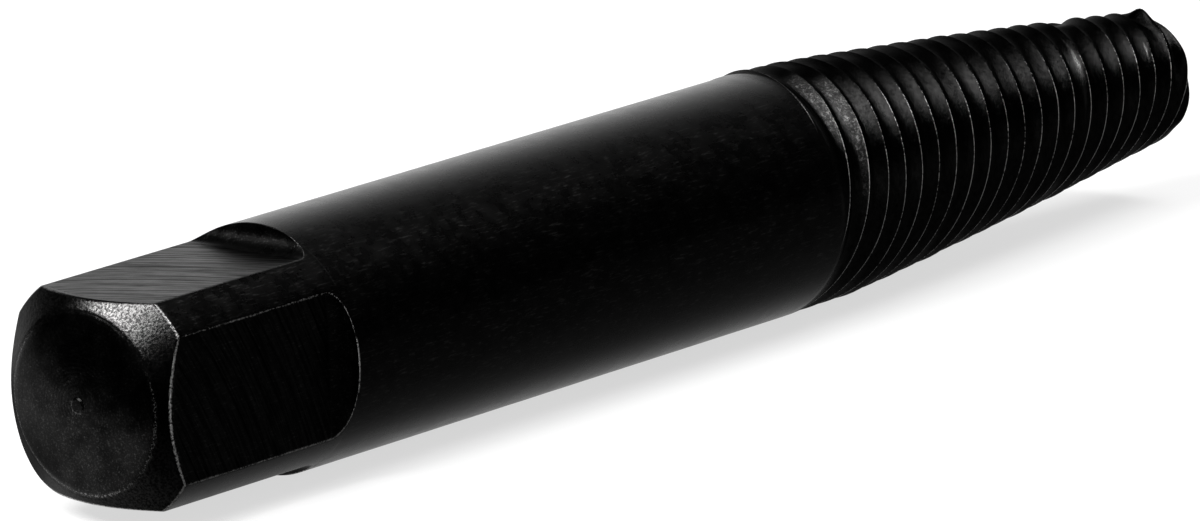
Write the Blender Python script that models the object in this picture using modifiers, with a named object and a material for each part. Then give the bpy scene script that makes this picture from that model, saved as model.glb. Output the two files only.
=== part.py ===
"""Left-hand spiral screw extractor, a one-piece steel tool.

The tool lies on its side, as it comes to rest. Its axis runs along +X from the square
drive end to the tapered nose, and z = 0 is the surface that it lies on.
The shank is a turned profile: a crowned end with a small turning pip, a chamfer and a
cylinder. Four milled flats, each ending in a fillet, make the drive square. The nose
carries left-hand spiral flutes that meet in sharp crests on a taper. They deepen over a
short run-in from the shank, and grow shallow again at the tip.
Along the tool, places are measured from the drive end.
"""

import math

import bmesh
import bpy

# Overall sizes, in metres
OVERALL_LENGTH = 0.0903
SHANK_DIAMETER = 0.0135

# Drive square
SQUARE_WIDTH = 0.011
FLAT_LENGTH = 0.0145
FLAT_FILLET = 0.001

# Crowned and chamfered drive end
END_FACE_DIAMETER = 0.0097
END_CROWN = 0.0005
END_CHAMFER_LENGTH = 0.00136
PIP_DIAMETER = 0.001
PIP_HEIGHT = 0.0001

# Fluted, tapered nose
FLUTES_START = 0.0553
FLUTE_RUN_IN = 0.0016
FLUTE_RUN_OUT = 0.0018
TAPER_START = 0.0605
TIP_DIAMETER = 0.0079
CREST_RELIEF = 0.00005
CREST_SPACING = 0.00174
FLUTE_COUNT = 6
FLUTE_DEPTH = 0.00034
FLUTE_LOW_SHARE = 0.42
TIP_DEPTH_SHARE = 0.35
CREST_AT_FRONT = 0.06747

# Facets. The shank has a multiple of four sides, so that a flat side lies underneath
SHANK_SIDES = 24
CROWN_STEPS = 4
FILLET_STEPS = 6
POINTS_PER_FLUTE = 6
STATIONS_PER_TURN = 36

# How far a cutter runs past the metal, and how deep the nose is set into the shank
OVERRUN = 0.001

SHANK_RADIUS = SHANK_DIAMETER / 2
FLUTE_LEAD = CREST_SPACING * FLUTE_COUNT
DRIVE_END = (-OVERALL_LENGTH / 2, 0.0, SHANK_RADIUS)


def new_collection(name):
    collection = bpy.data.collections.new(name)
    bpy.context.scene.collection.children.link(collection)
    return collection


def place(name, mesh, collection):
    """Puts a mesh that is modelled about the tool's axis at the drive end."""
    obj = bpy.data.objects.new(name, mesh)
    obj.location = DRIVE_END
    collection.objects.link(obj)
    return obj


def hide_as_cutter(obj):
    obj.hide_render = True
    obj.display_type = "WIRE"
    return obj


def combine(obj, other, operation):
    """Adds an exact Boolean of another object to obj."""
    modifier = obj.modifiers.new(other.name, "BOOLEAN")
    modifier.operation = operation
    modifier.solver = "EXACT"
    modifier.object = other


def shank_profile():
    """Half section of the shank as (place, radius), from the flutes back to the pip's face."""
    face_radius = END_FACE_DIAMETER / 2
    pip_radius = PIP_DIAMETER / 2
    crown_radius = (face_radius ** 2 + END_CROWN ** 2) / (2 * END_CROWN)
    face_edge = PIP_HEIGHT + END_CROWN

    points = [(FLUTES_START, 0.0), (FLUTES_START, SHANK_RADIUS)]
    points.append((face_edge + END_CHAMFER_LENGTH, SHANK_RADIUS))
    for step in range(CROWN_STEPS + 1):
        radius = face_radius + (pip_radius - face_radius) * step / CROWN_STEPS
        rise = crown_radius - math.sqrt(crown_radius ** 2 - radius ** 2)
        points.append((PIP_HEIGHT + rise, radius))
    points += [(0.0, pip_radius), (0.0, 0.0)]
    return points


def make_shank(collection):
    """Turns the profile about the axis, with a flat side underneath.

    Each side touches the true cylinder at its middle, so the edges lie just outside it.
    """
    half_side = math.pi / SHANK_SIDES
    vertices = [(x, radius, radius * math.tan(half_side)) for x, radius in shank_profile()]
    edges = [(index, index + 1) for index in range(len(vertices) - 1)]
    mesh = bpy.data.meshes.new("shank_profile")
    mesh.from_pydata(vertices, edges, [])

    shank = place("screw_extractor", mesh, collection)
    turn = shank.modifiers.new("turn", "SCREW")
    turn.axis = "X"
    turn.angle = 2 * math.pi
    turn.steps = SHANK_SIDES
    turn.render_steps = SHANK_SIDES
    turn.use_merge_vertices = True
    turn.merge_threshold = 0.000001
    return shank


def flat_outline():
    """Side view of the metal that one flat takes away, as (place, distance from the axis)."""
    flat = SQUARE_WIDTH / 2
    outside = SHANK_RADIUS + OVERRUN
    centre = (FLAT_LENGTH - FLAT_FILLET, flat + FLAT_FILLET)
    points = [(-OVERRUN, outside), (-OVERRUN, flat)]
    for step in range(FILLET_STEPS + 1):
        angle = math.pi / 2 * (step / FILLET_STEPS - 1)
        points.append((centre[0] + FLAT_FILLET * math.cos(angle),
                       centre[1] + FLAT_FILLET * math.sin(angle)))
    points.append((FLAT_LENGTH, outside))
    return points


def make_flat_cutters(collection):
    """One extruded outline, set round the axis once for each side of the square."""
    curve = bpy.data.curves.new("flat_cutter", "CURVE")
    curve.dimensions = "2D"
    curve.fill_mode = "BOTH"
    curve.extrude = SHANK_RADIUS + OVERRUN
    outline = flat_outline()
    spline = curve.splines.new("POLY")
    spline.points.add(len(outline) - 1)
    for point, (x, distance) in zip(spline.points, outline):
        point.co = (x, distance, 0.0, 1.0)
    spline.use_cyclic_u = True

    pattern = place("flat_pattern", curve, collection)
    bpy.context.view_layer.update()
    evaluated = pattern.evaluated_get(bpy.context.evaluated_depsgraph_get())
    mesh = bpy.data.meshes.new_from_object(evaluated)
    bpy.data.objects.remove(pattern)

    solid = bmesh.new()
    solid.from_mesh(mesh)
    bmesh.ops.remove_doubles(solid, verts=solid.verts, dist=0.000001)
    bmesh.ops.recalc_face_normals(solid, faces=solid.faces)
    solid.to_mesh(mesh)
    solid.free()

    cutters = []
    for side in ("top", "front", "bottom", "back"):
        cutter = hide_as_cutter(place("flat_cutter_" + side, mesh, collection))
        cutter.rotation_euler = (math.pi / 2 * (len(cutters) + 1), 0.0, 0.0)
        cutters.append(cutter)
    return cutters


def crest_radius(x):
    """The crests stay parallel up to the taper, then close evenly to the tip."""
    parallel = SHANK_RADIUS - CREST_RELIEF
    tip = TIP_DIAMETER / 2
    along = max(0.0, (x - TAPER_START) / (OVERALL_LENGTH - TAPER_START))
    return parallel + (tip - parallel) * along


def flute_depth(x):
    """The flutes deepen evenly over the run-in, and grow shallower over the last of the tip."""
    run_in = (x - FLUTES_START) / FLUTE_RUN_IN
    run_out = TIP_DEPTH_SHARE + (1 - TIP_DEPTH_SHARE) * (OVERALL_LENGTH - x) / FLUTE_RUN_OUT
    return FLUTE_DEPTH * max(0.0, min(run_in, run_out, 1.0))


def flute_wave(share):
    """Share of the depth at a share of the way from one crest to the next.

    Half a sine wave, skewed so that its lowest point lies at FLUTE_LOW_SHARE.
    """
    if share < FLUTE_LOW_SHARE:
        wave = share / (2 * FLUTE_LOW_SHARE)
    else:
        wave = 1 - (1 - share) / (2 * (1 - FLUTE_LOW_SHARE))
    return math.sin(math.pi * wave)


def nose_section(x):
    """One cross-section of the nose. It turns backwards along the tool, which is left-handed."""
    count = FLUTE_COUNT * POINTS_PER_FLUTE
    turned = math.pi - 2 * math.pi * (x - CREST_AT_FRONT) / FLUTE_LEAD
    points = []
    for index in range(count):
        share = index % POINTS_PER_FLUTE / POINTS_PER_FLUTE
        radius = crest_radius(x) - flute_depth(x) * flute_wave(share)
        angle = turned + 2 * math.pi * index / count
        points.append((x, radius * math.cos(angle), radius * math.sin(angle)))
    return points


def make_nose(collection):
    """Lofts the turning sections into one closed solid, which starts inside the shank."""
    start = FLUTES_START - OVERRUN
    length = OVERALL_LENGTH - start
    steps = math.ceil(length / FLUTE_LEAD * STATIONS_PER_TURN)
    count = FLUTE_COUNT * POINTS_PER_FLUTE

    vertices = []
    for step in range(steps + 1):
        vertices += nose_section(start + length * step / steps)

    faces = [tuple(reversed(range(count)))]
    for step in range(steps):
        for index in range(count):
            here = step * count + index
            beside = step * count + (index + 1) % count
            ahead = here + count
            diagonal = beside + count
            faces += [(here, beside, diagonal), (here, diagonal, ahead)]
    faces.append(tuple(range(steps * count, (steps + 1) * count)))

    mesh = bpy.data.meshes.new("fluted_nose")
    mesh.from_pydata(vertices, [], faces)
    return hide_as_cutter(place("fluted_nose", mesh, collection))


def black_oxide_steel():
    material = bpy.data.materials.new("black_oxide_steel")
    material.use_nodes = True
    shader = material.node_tree.nodes["Principled BSDF"]
    shader.inputs["Base Color"].default_value = (0.035, 0.036, 0.038, 1.0)
    shader.inputs["Metallic"].default_value = 0.9
    shader.inputs["Roughness"].default_value = 0.38
    return material


def main():
    for obj in list(bpy.data.objects):
        bpy.data.objects.remove(obj, do_unlink=True)

    tool = new_collection("screw_extractor")
    cutters = new_collection("cutters")

    extractor = make_shank(tool)
    combine(extractor, make_nose(cutters), "UNION")
    for cutter in make_flat_cutters(cutters):
        combine(extractor, cutter, "DIFFERENCE")
    extractor.data.materials.append(black_oxide_steel())


main()
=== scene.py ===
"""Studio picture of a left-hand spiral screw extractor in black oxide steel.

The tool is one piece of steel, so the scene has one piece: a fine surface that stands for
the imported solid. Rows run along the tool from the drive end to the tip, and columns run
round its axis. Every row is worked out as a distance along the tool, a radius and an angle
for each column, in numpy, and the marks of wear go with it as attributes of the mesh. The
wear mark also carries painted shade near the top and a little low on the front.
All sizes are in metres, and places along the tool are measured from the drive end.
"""

import math

import bpy
import numpy as np
from mathutils import Matrix, Vector


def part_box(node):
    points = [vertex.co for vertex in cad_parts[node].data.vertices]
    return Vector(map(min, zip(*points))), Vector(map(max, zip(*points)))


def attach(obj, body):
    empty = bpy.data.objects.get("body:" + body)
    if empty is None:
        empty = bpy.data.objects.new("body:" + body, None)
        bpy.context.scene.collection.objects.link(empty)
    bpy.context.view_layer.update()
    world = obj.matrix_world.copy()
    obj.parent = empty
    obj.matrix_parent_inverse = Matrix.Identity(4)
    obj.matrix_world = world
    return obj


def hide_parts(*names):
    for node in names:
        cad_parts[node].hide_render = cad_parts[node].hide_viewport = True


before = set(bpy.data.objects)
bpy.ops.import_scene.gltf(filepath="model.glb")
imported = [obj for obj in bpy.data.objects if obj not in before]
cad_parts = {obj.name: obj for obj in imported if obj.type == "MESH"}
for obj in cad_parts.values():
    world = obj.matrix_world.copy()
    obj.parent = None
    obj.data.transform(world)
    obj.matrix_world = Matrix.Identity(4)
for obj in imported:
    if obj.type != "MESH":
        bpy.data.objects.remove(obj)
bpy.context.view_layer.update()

NODE = "screw_extractor"

# The tool's own sizes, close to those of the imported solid
SHANK_RADIUS = 0.00675
FLAT_DISTANCE = 0.0055
FLAT_LENGTH = 0.01448
FILLET_RADIUS = 0.00105
FACE_RADIUS = 0.00485
DOME_RADIUS = 0.0235
CONE_LENGTH = 0.00136
PIP_RADIUS = 0.0004
PIP_HEIGHT = 0.00008
FLUTES_START = 0.0549
RUN_IN = 0.0019
FINISH_IN = 0.0005
TAPER_START = 0.0605
TAPER_SWELL = 0.00014
TIP_RADIUS = 0.00385
CREST_RELIEF = 0.00005
CREST_SPACING = 0.00174
FLUTE_COUNT = 6
FLUTE_DEPTH = 0.00034
FLUTE_LOW_SHARE = 0.37
FLANK_CURVE = 1.3
CREST_AT_FRONT = 0.05703

# The first turns of the flutes lag behind their spiral, and one starts later than the others
LAG = 0.00036
LAG_START = 0.0585
LAG_LENGTH = 0.0045
LATE_FLUTE = 3
LATE_START = 0.0556

# On top the first crests stand a little proud of the shank. Spreads round the axis are radians
PROUD_PLACE = 0.0567
PROUD_LENGTH = 0.0018
PROUD_ANGLE = math.radians(85)
PROUD_SPREAD = 0.7
PROUD_HEIGHT = 0.00018

# At the tip the flutes run out. In front the metal between two crests swells there, between two
# angles and with a fade at each, and there are two lips: the angle, spread and height of each
RUN_OUT = 0.0009
TIP_DEPTH_SHARE = 0.35
TIP_SWELL_SHARE = 0.95
TIP_SWELL_ANGLES = (math.radians(88), math.radians(228))
TIP_SWELL_FADES = (0.25, 0.35)
LIPS = (
    (math.radians(100), 0.17, 0.0003),
    (math.radians(154), 0.28, 0.00025),
)

# How far the edges are rounded, and how uneven the crests are
EDGE_ROUND = 0.00006
CORNER_ROUND = 0.00012
RIDGE_ROUND = 0.00016
CREST_ROUND = 0.000012
CREST_UNEVEN = 0.000012
TIP_ROUND = 0.00006

# The lower far corner of the drive end is worn rounder than the rest
SOFT_CORNER = math.radians(315)
SOFT_CORNER_ROUND = 0.0003
SOFT_CORNER_SPREAD = 0.6
SOFT_EDGE_ROUND = 0.0009
SOFT_EDGE_SPREAD = 0.45
SOFT_EDGE_FADE = (0.0021, 0.0065)

# A nick in the crests on top, rubbed bright inside
NICK_PLACE = 0.0839
NICK_LENGTH = 0.0005
NICK_ANGLE = math.radians(77)
NICK_SPREAD = 0.3
NICK_DEPTH = 0.00034
NICK_SHINE = 0.5

# Worn lines: half the width and the strength of each. A crest's line fades in over this share
# of the nose's run-in. Three lines run across the rows of a rounded edge: the middle and half
# the width of each, as shares of its rows, or as angles at the tip
RIDGE_LINE = 0.00013
RIDGE_WEAR = 0.33
PIP_LINE = 0.00009
PIP_WEAR = 0.3
LONG_EDGE_LINE = 0.000042
LONG_EDGE_WEAR = 0.75
CREST_LINE = 0.000042
CREST_LINE_IN = 0.25
CORNER_LINE = (0.5, 0.45)
WALL_LINE = (0.93, 0.1)
TIP_LINE = (math.pi / 4, 0.6)

# Painted shade, given as less wear: near the top, and a little low on the front. There the worn
# edges and crests fade, the flutes and crests get more matt black, and the chamfer less. The
# angle, the spread and how much less
SPARED_AND_SHADED = (
    (math.radians(95), 0.75, 0.85),
    (math.radians(230), 0.35, 0.2),
)

# Flanks that are torn: the crest after each, the angles in degrees where the band starts and
# ends, and its width. Then the shares of the width at its start and end, the shares of its
# length over which it fades in and out, and the share of its width over which its edge fades
TORN_BANDS = (
    (-2, 82, 142, 0.00012),
    (-1, 98, 160, 0.00095),
    (0, 104, 196, 0.0009),
)
TORN_SHARES = (1.15, 0.3)
TORN_FADES = (1 / 8, 1 / 3)
TORN_EDGE = 0.4

# Flanks that are rubbed bright in a spindle: the crest after each, the angles in degrees where
# it starts and ends, the distance of its middle from the crest, and its width. Its ends keep a
# small share of the width
RUBBED_BANDS = (
    (13, 112, 174, 0.0004, 0.00019),
    (17, 132, 152, 0.0003, 0.00006),
)
SPINDLE_END = 0.05

# Cutter marks on the flats and turning rings on the face: their spacing, and how the marks lean
# and curve. Where the face ends, its finish fades over a short way
MILL_SPACING = 0.00072
MILL_LEAN = math.radians(57)
MILL_CURVE = 0.04
RING_SPACING = 0.00021
FACE_FADE = 0.0002

# How the finish's patterns are drawn out, along the tool and along the cutter marks, as shares of
# their true length, and how far the rings sway, in radians
ALONG_TOOL = 0.15
ALONG_MARKS = 0.03
RING_SWAY = 6.0

# What each point of the surface says about its own finish; the wear mark also carries painted
# shade
MARKS = ("edge", "face", "cone", "flat", "flute", "crest", "torn", "rubbed", "mill", "sweep",
         "turned", "wear_and_shade")

# Columns round the axis: each quarter has a flat and a round corner, each flute its own
FLAT_COLUMNS = 31
CORNER_COLUMNS = 14
COLUMNS = 4 * (FLAT_COLUMNS + CORNER_COLUMNS)
FLUTE_COLUMNS = COLUMNS // FLUTE_COUNT
EDGE_CROWDING = 0.85
CREST_CROWDING = 0.8
FIRST_FLAT = math.radians(270)

# Rows along each stretch, and how much they crowd at its ends. On the shank the columns turn a
# little faster than the rows go along it
CONE_ROWS = 24
CORNER_ROWS = 7
FLATS_ROWS = 19
FLATS_CROWDING = 0.7
FILLET_ROWS = 17
SHANK_ROWS = 40
SHANK_CROWDING = 0.5
SHANK_TURN_PACE = 1.2
NOSE_ROWS = 330
TIP_EDGE_ROWS = 7
TIP_FACE_ROWS = 12

# The rows of the wall at a flat's end: shares of its height, and its lean in rounded edges
WALL_RISE = (0.3, 0.6, 0.8, 0.9, 0.97, 1.0, 1.0)
WALL_LEAN = (0.02, 0.04, 0.1, 0.25, 0.55, 1.0, 1.5)

# The photograph's camera, for a picture of 1200 by 521 pixels
PICTURE_SIZE = (1200, 521)
SENSOR_WIDTH = 36.0
FOCAL_PIXELS = 12421.3
CAMERA_AZIMUTH = math.radians(39.734)
CAMERA_ELEVATION = math.radians(13.137)
CAMERA_ROLL = math.radians(-2.0225)
CAMERA_DISTANCE = 0.63748
DRIVE_END_PIXEL = (76.68, 406.42)

# The floor: half its width, its paint, and how much of its white the camera sees as a glow
FLOOR_SIZE = 3.0
FLOOR_PAINT = 0.8
FLOOR_WHITE = 0.65

# Metal sees it as a glow with painted shade: it turns from dark to white under the tool, and
# ends on a line that leans, past the drive end. Behind the tool it sees a painted shadow, which
# starts and ends across and along
DARK_FLOOR_EDGE = (-0.0065, 0.0035)
FLOOR_END_POINT = (-0.0615, 0.003)
FLOOR_END_LEAN = math.radians(20)
FLOOR_END_FADE = (-0.007, 0.009)
PAINTED_SHADOW_BEHIND = (0.004, 0.01)
PAINTED_SHADOW_END = (0.03, 0.06)
PAINTED_SHADOW_FROM = (-0.055, -0.045)
PAINTED_SHADOW_DEPTH = 0.85
FRONT_GLOW = 0.12

# The room: how bright metal sees it, where its bright parts begin and end as shares of a
# direction, and its light on everything else
ROOM_GLOW = 0.03
BACKDROP_AZIMUTH = math.radians(42)
BACKDROP_EDGE = (0.66, 0.87)
BACKDROP_TOP = (0.05, 0.75)
SIDE_GLOW = 0.35
SIDE_EDGE = (0.86, 0.98)
CEILING_EDGE = (0.82, 0.95)
ROOM_LIGHT = 0.3

node_low, node_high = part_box(NODE)
LENGTH = node_high.x - node_low.x
DRIVE_END = Vector((node_low.x, 0.0, (node_low.z + node_high.z) / 2))


def soft_min(first, second, width):
    """The smaller of two values, rounded where they differ by less than width.

    With n = (width − |difference|) / width there, it is smaller − n² · width / 4.
    """
    near = np.maximum(width - np.abs(first - second), 0) / width
    return np.minimum(first, second) - near ** 2 * width / 4


def soft_max(first, second, width):
    """The larger of two values, rounded the same way."""
    return -soft_min(-first, -second, width)


def smooth_step(value):
    """0 below 0, 1 above 1, and 3v² − 2v³ between."""
    v = np.clip(value, 0, 1)
    return v * v * (3 - 2 * v)


def bump_at(value, centre, width):
    """A soft peak of height 1: exp(−((value − centre) / width)²)."""
    return np.exp(-(((value - centre) / width) ** 2))


def crowd(share, strength):
    """Shares from 0 to 1 drawn towards both ends: share − strength · sin(2π · share) / 2π."""
    return share - strength * np.sin(2 * math.pi * share) / (2 * math.pi)


def blend(first, second, share):
    return first + (second - first) * share


def ripple(angle, place, seed, waves, turns, per_metre):
    """Gentle unevenness, about −1 to 1: the sum of seeded sine waves times 1.4 / √waves.

    Each wave is sin(a · angle + b · place + c), with a whole number of turns a, so that it
    closes round the axis.
    """
    draw = np.random.default_rng(seed)
    total = 0
    for _ in range(waves):
        around = draw.integers(-turns, turns + 1)
        along = draw.uniform(-per_metre, per_metre) * 2 * math.pi
        total = total + np.sin(around * angle + along * place + draw.uniform(0, 2 * math.pi))
    return total * 1.4 / math.sqrt(waves)


def shank_columns(edge_angle):
    """Angles of the columns on the drive square and shank, one row for each edge angle.

    A quarter is a flat, out to edge_angle on both sides of its middle, and the round corner
    after it. The columns crowd together at both edges of each.
    """
    edge = np.atleast_1d(edge_angle)[:, None]
    flat = crowd(np.arange(FLAT_COLUMNS) / FLAT_COLUMNS, EDGE_CROWDING)
    corner = crowd(np.arange(CORNER_COLUMNS) / CORNER_COLUMNS, EDGE_CROWDING)
    quarter = np.hstack([edge * (2 * flat - 1), edge + (math.pi / 2 - 2 * edge) * corner])
    return np.hstack([FIRST_FLAT + side * math.pi / 2 + quarter for side in range(4)])


def flat_cosine(angle):
    """Cosine of the angle to the nearest flat's middle."""
    return np.maximum(np.abs(np.cos(angle)), np.abs(np.sin(angle)))


def across_flat(angle):
    """Angle past the nearest flat's middle, from −45 to 45 degrees."""
    return (angle + math.pi / 4) % (math.pi / 2) - math.pi / 4


def angle_from(angle, other):
    """How far angle is past the other, from −180 to 180 degrees."""
    return (angle - other + math.pi) % (2 * math.pi) - math.pi


def end_place(radius):
    """Place of the turned drive end at a radius: a pip, a shallow dome and the chamfer."""
    pip = PIP_HEIGHT * smooth_step((radius - PIP_RADIUS) / PIP_HEIGHT + 0.5)
    dome = radius ** 2 / (2 * DOME_RADIUS)
    ridge = FACE_RADIUS ** 2 / (2 * DOME_RADIUS)
    slope = CONE_LENGTH / (SHANK_RADIUS - FACE_RADIUS)
    cone = ridge + (radius - FACE_RADIUS) * slope
    return pip + soft_max(dome, cone, RIDGE_ROUND)


def crests_passed(place):
    """How many crests pass the front on the way from the first one to a place."""
    lag = LAG * (1 - smooth_step((place - LAG_START) / LAG_LENGTH))
    return (place - lag - CREST_AT_FRONT) / CREST_SPACING


def crest_angle(place):
    """Angle of the first flute's crest. It turns backwards along the tool: left-handed."""
    return math.pi - 2 * math.pi * crests_passed(place) / FLUTE_COUNT


def nose_columns(place):
    """Angles of the columns on the nose: they follow the flutes and crowd at the crests."""
    share = crowd(np.arange(FLUTE_COLUMNS) / FLUTE_COLUMNS, CREST_CROWDING)
    turns = (np.arange(FLUTE_COUNT)[:, None] + share).ravel() / FLUTE_COUNT
    return crest_angle(np.atleast_1d(place))[:, None] + 2 * math.pi * turns


def flute_share():
    """Each column's share of the way from one crest to the next."""
    share = crowd(np.arange(FLUTE_COLUMNS) / FLUTE_COLUMNS, CREST_CROWDING)
    return np.tile(share, FLUTE_COUNT)


def crest_radius(place):
    """Radius of the crests: parallel at first, then closing to the tip in a slight swell."""
    parallel = SHANK_RADIUS - CREST_RELIEF
    along = np.maximum(0, (place - TAPER_START) / (LENGTH - TAPER_START))
    return blend(parallel, TIP_RADIUS, along) + TAPER_SWELL * np.sin(math.pi * along)


def nose_in(place):
    """How far the nose has come in: 0 on the shank, 1 past the run-in."""
    return smooth_step((place - FLUTES_START) / RUN_IN)


def flutes_in(place, length):
    """The same over a length for each column's own flute, as one of them starts late."""
    starts = np.full(FLUTE_COUNT, FLUTES_START)
    starts[LATE_FLUTE] = LATE_START
    return smooth_step((place - np.repeat(starts, FLUTE_COLUMNS)) / length)


def nose_radius(place, angle):
    """Crest radius less the flute's dip: a quarter sine wave down, then a long flank up.

    With t the share of the flank that is left, the flank's dip is 1 − (1 − t)^FLANK_CURVE.
    The crest is worn round: dip becomes √(dip² + w²) − w. In front, the dip turns outwards
    at the tip.
    """
    share = flute_share()
    early = np.sin(math.pi / 2 * np.minimum(share / FLUTE_LOW_SHARE, 1))
    left = np.minimum((1 - share) / (1 - FLUTE_LOW_SHARE), 1)
    dip = np.where(share < FLUTE_LOW_SHARE, early, 1 - (1 - left) ** FLANK_CURVE)
    dip = np.sqrt((FLUTE_DEPTH * dip) ** 2 + CREST_ROUND ** 2) - CREST_ROUND
    run_out = 1 - smooth_step((LENGTH - place) / RUN_OUT)
    around = angle % (2 * math.pi)
    rise = smooth_step((around - TIP_SWELL_ANGLES[0]) / TIP_SWELL_FADES[0])
    fall = smooth_step((TIP_SWELL_ANGLES[1] - around) / TIP_SWELL_FADES[1])
    tip_depth = TIP_DEPTH_SHARE - TIP_SWELL_SHARE * rise * fall
    dip = dip * blend(1, tip_depth, run_out) * flutes_in(place, RUN_IN)
    lip = sum(height * run_out * bump_at(around, at, spread) for at, spread, height in LIPS)
    uneven = CREST_UNEVEN * ripple(angle, place, seed=7, waves=14, turns=9, per_metre=900)
    nick = NICK_DEPTH * nick_share(place, angle)
    proud = PROUD_HEIGHT * bump_at(place, PROUD_PLACE, PROUD_LENGTH)
    proud = proud * bump_at(angle_from(angle, PROUD_ANGLE), 0, PROUD_SPREAD)
    nose = crest_radius(place) + uneven - nick + lip + proud
    return blend(SHANK_RADIUS, nose, nose_in(place)) - dip


def nick_share(place, angle):
    """1 in the middle of the nick, and 0 round it."""
    around = bump_at(angle_from(angle, NICK_ANGLE), 0, NICK_SPREAD)
    return bump_at(place, NICK_PLACE, NICK_LENGTH) * around


def stretch(place, radius, angle, **marks):
    """Rows of one stretch of the tool, with every value spread over all rows and columns."""
    place, radius, angle = np.broadcast_arrays(place, radius, angle)
    shape = (place.shape[0], COLUMNS)
    rows = {"place": place, "radius": radius, "angle": angle}
    # Painted shade: the wear mark is lowered near the top and a little low on the front
    spared_and_shaded = [less * bump_at(angle_from(angle, at), 0, spread) for at, spread, less in SPARED_AND_SHADED]
    marks["wear_and_shade"] = 1 - sum(spared_and_shaded)
    for mark in MARKS:
        rows[mark] = marks.get(mark, 0.0)
    return {name: np.broadcast_to(value, shape) for name, value in rows.items()}


def corner_round(angle):
    """How far the corner between chamfer and sides is rounded: more on the lower far side."""
    near = bump_at(angle_from(angle, SOFT_CORNER), 0, SOFT_CORNER_SPREAD)
    return CORNER_ROUND + SOFT_CORNER_ROUND * near


def drive_end_rows(edge_angle):
    """Pip, dome, ridge and chamfer, out to the edge where the sides begin.

    The rows lie close together at the pip's edge and at the ridge.
    """
    angle = shank_columns(edge_angle)
    side = side_radius(angle, FLAT_DISTANCE, 1.0)
    turned = np.concatenate([
        np.linspace(0.1, 0.8, 5) * PIP_RADIUS,
        np.linspace(0.88, 1.2, 6) * PIP_RADIUS,
        np.linspace(0.15, 0.95, 26) * FACE_RADIUS,
        np.linspace(0.97, 1.03, 9) * FACE_RADIUS,
    ])[:, None]
    start = turned[-1]
    share = np.linspace(0, 1, CONE_ROWS)[1:, None]
    cone = blend(start, side - corner_round(angle), share)
    radius = np.vstack([np.broadcast_to(turned, (len(turned), COLUMNS)), cone])
    place = end_place(radius)
    ridge = RIDGE_WEAR * bump_at(radius, FACE_RADIUS, RIDGE_LINE)
    pip = PIP_WEAR * bump_at(radius, PIP_RADIUS, PIP_LINE)
    face = 1 - smooth_step((radius - FACE_RADIUS) / FACE_FADE)
    return stretch(place, radius, angle, edge=np.maximum(ridge, pip), face=face, cone=1 - face,
                   turned=radius)


def side_radius(angle, flat_distance, soft=0.0):
    """Radius of the shank with the flats cut away, their long edges rounded.

    Where soft is 1, the edges about the soft corner are rounded much further.
    """
    near = bump_at(angle_from(angle, SOFT_CORNER), 0, SOFT_EDGE_SPREAD)
    edge_round = EDGE_ROUND + SOFT_EDGE_ROUND * soft * near
    return soft_min(SHANK_RADIUS, flat_distance / flat_cosine(angle), edge_round)


def side_edge(angle, flat_distance):
    """Wear along the long edges: strongest where flat and shank meet."""
    flat = flat_distance / flat_cosine(angle)
    return LONG_EDGE_WEAR * bump_at(flat, SHANK_RADIUS, LONG_EDGE_LINE)


def corner_rows(edge_angle):
    """The rounded edge between chamfer and sides: a quadratic curve about the sharp corner."""
    angle = shank_columns(edge_angle)
    side = side_radius(angle, FLAT_DISTANCE, 1.0)
    share = np.linspace(0, 1, CORNER_ROWS)[1:, None]
    cut = corner_round(angle)
    corner = end_place(side)
    before = end_place(side - cut)
    after = corner + cut
    place = before * (1 - share) ** 2 + corner * 2 * share * (1 - share) + after * share ** 2
    radius = (side - cut) * (1 - share) ** 2 + side * (1 - (1 - share) ** 2)
    return stretch(place, radius, angle, edge=bump_at(share, *CORNER_LINE), cone=1 - share)


def cutter_marks(place, angle):
    """Distances across and along the cutter's marks at a place on a flat.

    The marks lean across the flat at MILL_LEAN and curve to a radius of MILL_CURVE: with p
    straight across them and q along them, the distance across is p + q² / (2 · MILL_CURVE).
    """
    aside = FLAT_DISTANCE * np.tan(across_flat(angle))
    across = place * math.sin(MILL_LEAN) - aside * math.cos(MILL_LEAN)
    along = place * math.cos(MILL_LEAN) + aside * math.sin(MILL_LEAN)
    return across + along ** 2 / (2 * MILL_CURVE), along


def flats_rows(edge_angle):
    """The four flats and the round corners between them."""
    angle = shank_columns(edge_angle)
    share = crowd(np.linspace(0, 1, FLATS_ROWS)[1:, None], FLATS_CROWDING)
    start = end_place(side_radius(angle, FLAT_DISTANCE, 1.0)) + corner_round(angle)
    place = blend(start, FLAT_LENGTH - FILLET_RADIUS, share)
    fade = (place - SOFT_EDGE_FADE[0]) / (SOFT_EDGE_FADE[1] - SOFT_EDGE_FADE[0])
    side = side_radius(angle, FLAT_DISTANCE, 1 - smooth_step(fade))
    flat = smooth_step((SHANK_RADIUS - FLAT_DISTANCE / flat_cosine(angle)) / EDGE_ROUND)
    mill, sweep = cutter_marks(place, angle)
    return stretch(place, side, angle, edge=side_edge(angle, FLAT_DISTANCE), flat=flat,
                   mill=mill, sweep=sweep)


def fillet_rows():
    """The flats' ends rise on a quarter circle. The columns follow its edge with the shank."""
    turn = math.pi / 2 * np.linspace(0, 1, FILLET_ROWS)[1:, None]
    place = FLAT_LENGTH - FILLET_RADIUS * (1 - np.sin(turn))
    distance = FLAT_DISTANCE + FILLET_RADIUS * (1 - np.cos(turn))
    angle = shank_columns(np.arccos(distance[:, 0] / SHANK_RADIUS))
    return stretch(place, side_radius(angle, distance), angle, edge=side_edge(angle, distance))


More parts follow.
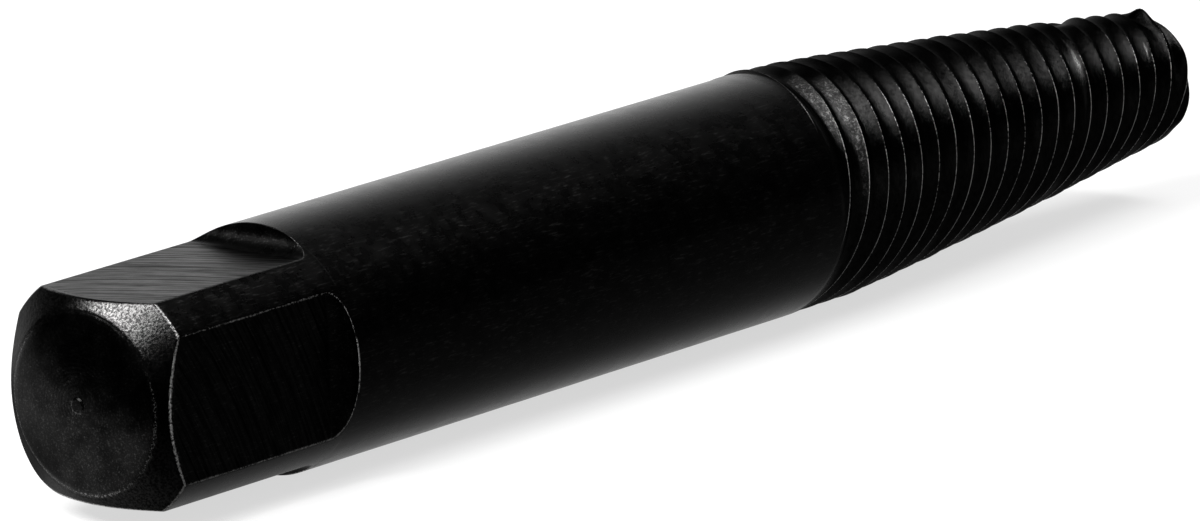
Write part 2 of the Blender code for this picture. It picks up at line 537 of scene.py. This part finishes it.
def wall_rows():
    """From the fillet's end straight up to the shank, with the edge there rounded."""
    distance = FLAT_DISTANCE + FILLET_RADIUS
    angle = shank_columns(math.acos(distance / SHANK_RADIUS))
    low = side_radius(angle, distance)
    share = np.array(WALL_RISE)[:, None]
    lean = np.array(WALL_LEAN)[:, None] * EDGE_ROUND
    rim = bump_at(share, *WALL_LINE) * (low < SHANK_RADIUS - EDGE_ROUND / 2)
    edge = np.maximum(rim, side_edge(angle, distance) * (1 - share))
    return stretch(FLAT_LENGTH + lean, blend(low, SHANK_RADIUS, share), angle, edge=edge)


def shank_rows():
    """The plain shank. Its columns turn from the flats' edges to the flutes' crests."""
    start = FLAT_LENGTH + 2 * EDGE_ROUND
    share = crowd(np.linspace(0, 1, SHANK_ROWS)[:, None], SHANK_CROWDING)
    distance = FLAT_DISTANCE + FILLET_RADIUS
    angle = blend(shank_columns(math.acos(distance / SHANK_RADIUS)),
                  nose_columns(FLUTES_START), smooth_step(share * SHANK_TURN_PACE))
    return stretch(blend(start, FLUTES_START, share), SHANK_RADIUS, angle)


def nose_rows():
    """The fluted, tapered nose, as far as the tip's edge."""
    step = (LENGTH - TIP_ROUND - FLUTES_START) / NOSE_ROWS
    place = FLUTES_START + step * np.arange(1, NOSE_ROWS + 1)[:, None]
    angle = nose_columns(place[:, 0])
    share = flute_share()
    away = np.minimum(share, 1 - share) * CREST_SPACING
    crest = bump_at(away, 0, CREST_LINE) * smooth_step(nose_in(place) / CREST_LINE_IN)
    rubbed = rubbed_flanks(place, angle, share) + NICK_SHINE * nick_share(place, angle)
    return stretch(place, nose_radius(place, angle), angle, crest=crest, rubbed=rubbed,
                   flute=flutes_in(place, FINISH_IN), torn=torn_flanks(place, angle, share))


def crest_ahead(place, angle, share):
    """Number of the crest that a point's flank rises to."""
    turned = angle_from(angle, math.pi) * FLUTE_COUNT / (2 * math.pi)
    return np.round(crests_passed(place) + turned - share) + 1


def along_band(angle, first, last):
    """Share of the way from one angle to another, both in degrees, and 0 or 1 past them."""
    return np.clip((np.degrees(angle % (2 * math.pi)) - first) / (last - first), 0, 1)


def torn_flanks(place, angle, share):
    """1 where a flank is torn, up to its crest. Each band narrows evenly towards its end."""
    before = (1 - share) * CREST_SPACING
    ahead = crest_ahead(place, angle, share)
    total = 0
    for crest, first, last, width in TORN_BANDS:
        along = along_band(angle, first, last)
        ends = smooth_step(along / TORN_FADES[0]) * smooth_step((1 - along) / TORN_FADES[1])
        reach = width * blend(*TORN_SHARES, along)
        edge = smooth_step((reach - before) / (TORN_EDGE * width) + 0.5)
        total = total + (ahead == crest) * ends * edge
    return total


def rubbed_flanks(place, angle, share):
    """1 along the middle of each rubbed spindle, whose width grows and shrinks as a sine."""
    before = (1 - share) * CREST_SPACING
    ahead = crest_ahead(place, angle, share)
    total = 0
    for crest, first, last, middle, width in RUBBED_BANDS:
        half = np.sin(math.pi * along_band(angle, first, last))
        spread = width * np.maximum(half, SPINDLE_END)
        spindle = bump_at(before, middle, spread) * np.sqrt(half)
        total = total + (ahead == crest) * spindle
    return total


def tip_rows():
    """The cut end: a small rounded edge and a flat face that closes on the axis."""
    angle = nose_columns(LENGTH)
    radius = nose_radius(LENGTH, angle)
    turn = math.pi / 2 * np.linspace(0, 1, TIP_EDGE_ROWS)[1:, None]
    edge_place = LENGTH - TIP_ROUND * (1 - np.sin(turn))
    edge_radius = radius - TIP_ROUND * (1 - np.cos(turn))
    share = np.linspace(1, 0, TIP_FACE_ROWS)[1:-1, None]
    place = np.vstack([edge_place, LENGTH + 0 * share])
    rows = np.vstack([edge_radius, (radius - TIP_ROUND) * share])
    edge = np.vstack([bump_at(turn, *TIP_LINE), 0 * share])
    return stretch(place, rows, angle, edge=edge)


def tool_rows():
    """Every stretch from the drive end to the tip, joined."""
    edge_angle = math.acos(FLAT_DISTANCE / SHANK_RADIUS)
    stretches = [
        drive_end_rows(edge_angle),
        corner_rows(edge_angle),
        flats_rows(edge_angle),
        fillet_rows(),
        wall_rows(),
        shank_rows(),
        nose_rows(),
        tip_rows(),
    ]
    return {name: np.vstack([part[name] for part in stretches]) for name in stretches[0]}


def closed_mesh(name, points, start_pole, end_pole):
    """A closed skin over rows and columns of points, with a pole at each end, faces outwards."""
    count, columns = points.shape[:2]
    vertices = np.vstack([points.reshape(-1, 3), start_pole, end_pole])
    index = np.arange(count * columns).reshape(count, columns)
    beside = np.roll(index, -1, axis=1)
    quads = np.stack([index[:-1], beside[:-1], beside[1:], index[1:]], axis=-1).reshape(-1, 4)
    pole = np.full(columns, count * columns)
    start_fan = np.stack([pole, beside[0], index[0]], axis=-1)
    end_fan = np.stack([pole + 1, index[-1], beside[-1]], axis=-1)
    faces = quads.tolist() + start_fan.tolist() + end_fan.tolist()
    mesh = bpy.data.meshes.new(name)
    mesh.from_pydata(vertices.tolist(), [], faces)
    mesh.shade_smooth()
    return mesh


def build_tool():
    """The whole surface as one object, with the marks of its finish."""
    rows = tool_rows()
    place = rows["place"] + DRIVE_END.x
    across = rows["radius"] * np.cos(rows["angle"])
    up = rows["radius"] * np.sin(rows["angle"]) + DRIVE_END.z
    points = np.stack([place, across, up], axis=-1)
    poles = [(DRIVE_END.x, 0.0, DRIVE_END.z), (DRIVE_END.x + LENGTH, 0.0, DRIVE_END.z)]
    mesh = closed_mesh("extractor_body", points, *poles)
    for mark in MARKS:
        values = np.append(rows[mark].ravel(), [rows[mark][0, 0], rows[mark][-1, 0]])
        attribute = mesh.attributes.new(mark, "FLOAT", "POINT")
        attribute.data.foreach_set("value", values.astype(np.float32))
    tool = bpy.data.objects.new("extractor_body", mesh)
    bpy.context.scene.collection.objects.link(tool)
    return tool


class Value:
    """A number that varies over a surface. Arithmetic on it adds Math nodes."""

    def __init__(self, sheet, socket):
        self.sheet = sheet
        self.socket = socket

    def math(self, operation, first, second=0.0):
        return self.sheet.node("ShaderNodeMath", {"operation": operation}, {0: first, 1: second})

    def __add__(self, other):
        return self.math("ADD", self, other)

    __radd__ = __add__

    def __sub__(self, other):
        return self.math("SUBTRACT", self, other)

    def __rsub__(self, other):
        return self.math("SUBTRACT", other, self)

    def __mul__(self, other):
        return self.math("MULTIPLY", self, other)

    __rmul__ = __mul__

    def __pow__(self, other):
        return self.math("POWER", self, other)

    def sine(self):
        return self.math("SINE", self)

    def size(self):
        return self.math("ABSOLUTE", self)

    def fraction(self):
        return self.math("FRACT", self)

    def larger(self, other):
        return self.math("MAXIMUM", self, other)

    def smaller(self, other):
        return self.math("MINIMUM", self, other)

    def step(self, low, high):
        """0 below low and 1 above high, with a smooth rise between, or a fall if high is less."""
        return self.sheet.node("ShaderNodeMapRange", {"interpolation_type": "SMOOTHSTEP"},
                               {"Value": self, "From Min": low, "From Max": high})


class Sheet:
    """The node tree of a material or world, and a short way to add to it."""

    def __init__(self, tree):
        self.tree = tree
        tree.nodes.clear()

    def node(self, kind, settings=None, inputs=None, output=0):
        """Adds a node: its settings come first, then the value or link of each socket."""
        made = self.tree.nodes.new(kind)
        for name, value in (settings or {}).items():
            setattr(made, name, value)
        for name, value in (inputs or {}).items():
            if isinstance(value, Value):
                self.tree.links.new(value.socket, made.inputs[name])
            else:
                made.inputs[name].default_value = value
        return Value(self, made.outputs[output]) if made.outputs else None

    def attribute(self, name):
        return self.node("ShaderNodeAttribute", {"attribute_name": name}, output="Fac")

    def place(self):
        return self.node("ShaderNodeTexCoord", output="Object")

    def split(self, vector):
        """The three numbers of a vector."""
        parts = self.node("ShaderNodeSeparateXYZ", None, {0: vector}).socket.node
        return [Value(self, socket) for socket in parts.outputs]

    def noise(self, vector, size, detail=2.0, roughness=0.5):
        """Noise from about 0.2 to 0.8 whose largest blots are about size metres across."""
        return self.node("ShaderNodeTexNoise", None, {
            "Vector": vector, "Scale": 1 / size, "Detail": detail, "Roughness": roughness})

    def bump(self, height, depth, normal=None):
        """A bump of a height from 0 to 1, where 1 stands depth metres proud."""
        inputs = {"Height": height, "Distance": depth, "Strength": 1.0}
        if normal is not None:
            inputs["Normal"] = normal
        return self.node("ShaderNodeBump", None, inputs)

    def mix_colour(self, share, first, second):
        return self.node("ShaderNodeMix", {"data_type": "RGBA"},
                         {0: share, 6: first, 7: second}, output=2)


def black_oxide_steel():
    """Dark oxide coat over turned, milled and ground steel, worn bright along its edges.

    The coat's number is what it reflects when it is looked at squarely, from 0 to 1. Where it
    is dull, as in the flutes, a matt black takes the place of part of the shine. The wear mark
    carries painted shade: near the top the worn edges and crests fade and the flutes and crests
    are duller, while the chamfer is duller away from the top. The noises are given by their
    size, and the bumps by their depth.
    """
    material = bpy.data.materials.new("black_oxide_steel")
    material.use_nodes = True
    s = Sheet(material.node_tree)
    place = s.place()
    edge, face, cone, flat, flute, crest, torn, rubbed, mill, sweep, turned, wear_and_shade = (
        s.attribute(mark) for mark in MARKS)
    lengthwise = s.node("ShaderNodeVectorMath", {"operation": "MULTIPLY"},
                        {0: place, 1: (ALONG_TOOL, 1.0, 1.0)})
    sweeping = s.node("ShaderNodeCombineXYZ", None, {"X": mill, "Y": sweep * ALONG_MARKS})

    sand = s.noise(place, 0.00007, 2.0, 0.6)
    grit = s.noise(place, 0.00014, 4.0, 0.75)
    speck = s.noise(place, 0.00035, 4.0, 0.7)
    blotch = s.noise(place, 0.0011, 4.0, 0.6)
    cloud = s.noise(place, 0.0035, 2.0, 0.5)
    streak = s.noise(lengthwise, 0.0015, 3.0, 0.6)
    fleck = s.noise(lengthwise, 0.00011, 3.0, 0.7)
    brushed = s.noise(sweeping, 0.00022, 4.0, 0.75)

    mark = 1 - ((mill * (1 / MILL_SPACING)).fraction() - 0.5).size().step(0.36, 0.5)
    cut = flat * (1 - 0.4 * mark) * brushed.step(0.44, 0.57)
    swaying = turned * (2 * math.pi / RING_SPACING) + blotch * RING_SWAY
    ring = swaying.sine() * face * cloud.step(0.45, 0.65)
    spots = fleck.step(0.54, 0.68) * (0.3 + 0.7 * blotch.step(0.35, 0.65))
    spots = spots * (1 - flute) * (1 - cone)

    coat = 0.001 + 0.006 * blotch.step(0.25, 0.8) + 0.004 * streak + 0.035 * spots
    coat = coat * (1 - 0.6 * cut) * (1 - 0.6 * flute)
    coat = coat + face * (0.002 + 0.004 * blotch.step(0.3, 0.7) + 0.04 * grit.step(0.55, 0.7))
    coat = coat + flute * 0.066 * (0.1 + 0.5 * grit.step(0.3, 0.7) + 0.6 * speck.step(0.3, 0.7))
    coat = coat + cone * (0.005 + 0.055 * grit.step(0.4, 0.62))
    coat = coat + flat * 0.004 * speck.step(0.45, 0.7)
    coat = coat + torn * 0.2 * grit.step(0.51, 0.62) * speck.step(0.35, 0.6)
    coat = coat + rubbed * 0.4 * speck * grit

    broken = 0.45 * grit + 0.25 * sand + 0.3 * cloud + 0.2 * wear_and_shade
    bare = (broken + 0.25 * edge).step(0.74, 0.88) * grit.step(0.3, 0.6)
    # Painted shade: where the wear mark is lowered, near the top, the worn edges and crests fade
    # out
    worn_edge = edge * wear_and_shade * wear_and_shade * bare
    worn_crest = crest * wear_and_shade * broken.step(0.56, 0.72)
    worn = worn_edge.larger(worn_crest)
    coat = coat.larger(0.8 * worn_edge).larger(worn_crest)
    colour = s.mix_colour(coat, (0.0, 0.0, 0.0, 1.0), (1.0, 0.99, 0.98, 1.0))

    roughness = 0.28 + 0.04 * flat - 0.1 * cone - 0.06 * face - 0.14 * flute + 0.2 * torn
    roughness = roughness + 0.14 * (blotch - 0.5) + 0.35 * worn + 0.03 * spots

    fine = sand * (0.6 + 2.0 * flute)
    coarse = grit * (0.4 + 2.0 * cone + 1.5 * flute + 3.0 * torn + 3.0 * worn)
    lines = flat * (brushed + 0.4 * mark) + 1.5 * cone * speck
    waves = 1.6 * ring + 2.0 * speck * (1 - flute)
    normal = s.bump(fine, 0.000003)
    normal = s.bump(coarse, 0.000005, normal)
    normal = s.bump(lines, 0.000008, normal)
    normal = s.bump(waves, 0.000001, normal)

    metal = s.node("ShaderNodeBsdfPrincipled", None, {
        "Base Color": colour, "Metallic": 1.0, "Roughness": roughness, "Normal": normal})
    soot = s.node("ShaderNodeBsdfPrincipled", None, {
        "Base Color": (0.0, 0.0, 0.0, 1.0), "Roughness": 1.0, "Specular IOR Level": 0.0})
    # Painted shade: more matt black in flutes and crests where the wear mark is low, and on the
    # chamfer where it is high
    dull = flute * (0.8 + 0.17 * (1 - wear_and_shade) ** 2) * (1 - 0.4 * torn)
    dull = dull + 0.35 * crest + 0.9 * flat * cut + 0.9 * cone * (wear_and_shade - 0.15)
    dull = dull.smaller(0.95) * (1 - worn) * (1 - 0.6 * rubbed)
    surface = mix_shaders(s, dull, metal, soot)
    s.node("ShaderNodeOutputMaterial", None, {"Surface": surface})
    return material


def seen_by(sheet):
    """1 for rays from the camera, and 1 for rays that metal or glass sends on."""
    camera = sheet.node("ShaderNodeLightPath", output="Is Camera Ray")
    glossy = sheet.node("ShaderNodeLightPath", output="Is Glossy Ray")
    transmission = sheet.node("ShaderNodeLightPath", output="Is Transmission Ray")
    return camera, glossy.larger(transmission)


def glow(sheet, strength):
    """An emission whose grey is a number from 0, black, to 1, white."""
    colour = sheet.mix_colour(strength, (0.0, 0.0, 0.0, 1.0), (1.0, 1.0, 1.0, 1.0))
    return sheet.node("ShaderNodeEmission", None, {"Color": colour})


def mix_shaders(sheet, share, first, second):
    return sheet.node("ShaderNodeMixShader", None, {0: share, 1: first, 2: second})


def pale_floor():
    """A wide white floor that keeps the tool's shadow.

    Metal sees it as a glow: white behind the tool, with a painted shadow of the tool, and
    painted shade on the camera's side and past the drive end, as under black cards.
    """
    mesh = bpy.data.meshes.new("floor")
    corners = np.array([(-1, -1, 0), (1, -1, 0), (1, 1, 0), (-1, 1, 0)]) * FLOOR_SIZE
    mesh.from_pydata(corners.tolist(), [], [(0, 1, 2, 3)])
    floor = bpy.data.objects.new("floor", mesh)
    bpy.context.scene.collection.objects.link(floor)
    material = bpy.data.materials.new("floor")
    material.use_nodes = True
    s = Sheet(material.node_tree)
    camera, glossy = seen_by(s)
    along, across, _ = s.split(s.place())
    paint_colour = (FLOOR_PAINT, FLOOR_PAINT, FLOOR_PAINT, 1.0)
    paint = s.node("ShaderNodeBsdfDiffuse", None, {"Color": paint_colour})
    white = mix_shaders(s, FLOOR_WHITE * camera, paint, glow(s, camera))
    inwards = ((along - FLOOR_END_POINT[0]) * math.cos(FLOOR_END_LEAN)
               + (across - FLOOR_END_POINT[1]) * math.sin(FLOOR_END_LEAN))
    # A painted shadow of the tool in the glow that metal sees, not cast by any lamp
    shadow = across.step(*PAINTED_SHADOW_BEHIND) * (1 - across.step(*PAINTED_SHADOW_END))
    shadow = shadow * along.step(*PAINTED_SHADOW_FROM)
    # Painted shade: the glow that metal sees is dark on the camera's side and past the drive end
    reach = across.step(*DARK_FLOOR_EDGE) * (1 - PAINTED_SHADOW_DEPTH * shadow)
    brightness = (FRONT_GLOW + (1 - FRONT_GLOW) * reach) * inwards.step(*FLOOR_END_FADE)
    surface = mix_shaders(s, glossy, white, glow(s, brightness))
    s.node("ShaderNodeOutputMaterial", None, {"Surface": surface})
    mesh.materials.append(material)


def studio_world():
    """White to the camera. Metal sees a white backdrop behind the tool that fades upwards.

    The backdrop is brightest opposite the camera. The room has a white ceiling and a weak glow
    on its front side, which hardly show in the metal from the photograph's camera. The rest of
    it is dim.
    """
    world = bpy.data.worlds.new("studio")
    bpy.context.scene.world = world
    world.use_nodes = True
    s = Sheet(world.node_tree)
    along, across, up = s.split(s.node("ShaderNodeTexCoord", output="Generated"))
    facing = along * math.cos(BACKDROP_AZIMUTH) + across * math.sin(BACKDROP_AZIMUTH)
    behind = facing.step(*BACKDROP_EDGE)
    room = ROOM_GLOW + (1 - ROOM_GLOW) * behind * (1 - up.step(*BACKDROP_TOP))
    room = room + SIDE_GLOW * (0 - across).step(*SIDE_EDGE) + up.step(*CEILING_EDGE)
    camera, glossy = seen_by(s)
    strength = camera + (1 - camera) * (glossy * room + (1 - glossy) * ROOM_LIGHT)
    colour = s.mix_colour(strength, (0.0, 0.0, 0.0, 1.0), (1.0, 1.0, 1.0, 1.0))
    shader = s.node("ShaderNodeBackground", None, {"Color": colour})
    s.node("ShaderNodeOutputWorld", None, {"Surface": shader})


def softbox(name, direction, distance, width, height, radiance):
    """A flat lamp that faces the tool from a direction."""
    lamp = bpy.data.lights.new(name, "AREA")
    lamp.shape = "RECTANGLE"
    lamp.size = width
    lamp.size_y = height
    lamp.energy = radiance * math.pi * width * height
    light = bpy.data.objects.new(name, lamp)
    towards = Vector(direction).normalized()
    light.location = towards * distance
    light.rotation_mode = "QUATERNION"
    light.rotation_quaternion = towards.to_track_quat("Z", "Y")
    bpy.context.scene.collection.objects.link(light)


def photograph_camera():
    """The photograph's view: a long lens that looks down along the tool from its drive end."""
    data = bpy.data.cameras.new("camera")
    data.sensor_width = SENSOR_WIDTH
    data.lens = FOCAL_PIXELS * SENSOR_WIDTH / PICTURE_SIZE[0]
    data.clip_start = 0.01
    data.clip_end = 20.0
    flat = math.cos(CAMERA_ELEVATION)
    forward = Vector((flat * math.cos(CAMERA_AZIMUTH), flat * math.sin(CAMERA_AZIMUTH),
                      -math.sin(CAMERA_ELEVATION)))
    level = forward.cross(Vector((0, 0, 1))).normalized()
    upright = level.cross(forward)
    right = level * math.cos(CAMERA_ROLL) + upright * math.sin(CAMERA_ROLL)
    up = upright * math.cos(CAMERA_ROLL) - level * math.sin(CAMERA_ROLL)
    metres_per_pixel = CAMERA_DISTANCE / FOCAL_PIXELS
    aside = (DRIVE_END_PIXEL[0] - PICTURE_SIZE[0] / 2) * metres_per_pixel
    above = (PICTURE_SIZE[1] / 2 - DRIVE_END_PIXEL[1]) * metres_per_pixel
    camera = bpy.data.objects.new("camera", data)
    turn = Matrix((right, up, -forward)).transposed().to_4x4()
    place = DRIVE_END - forward * CAMERA_DISTANCE - right * aside - up * above
    camera.matrix_world = Matrix.Translation(place) @ turn
    bpy.context.scene.collection.objects.link(camera)
    bpy.context.scene.camera = camera


tool = build_tool()
tool.data.materials.append(black_oxide_steel())
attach(tool, "root")
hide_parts(NODE)

pale_floor()
studio_world()
softbox("key_softbox", (-0.677, 0.183, 0.713),
        distance=0.55, width=0.36, height=0.22, radiance=22.0)
softbox("top_softbox", (0.2, -0.3, 0.93),
        distance=0.6, width=0.38, height=0.34, radiance=8.0)
photograph_camera()

bpy.context.scene.view_settings.view_transform = "Standard"
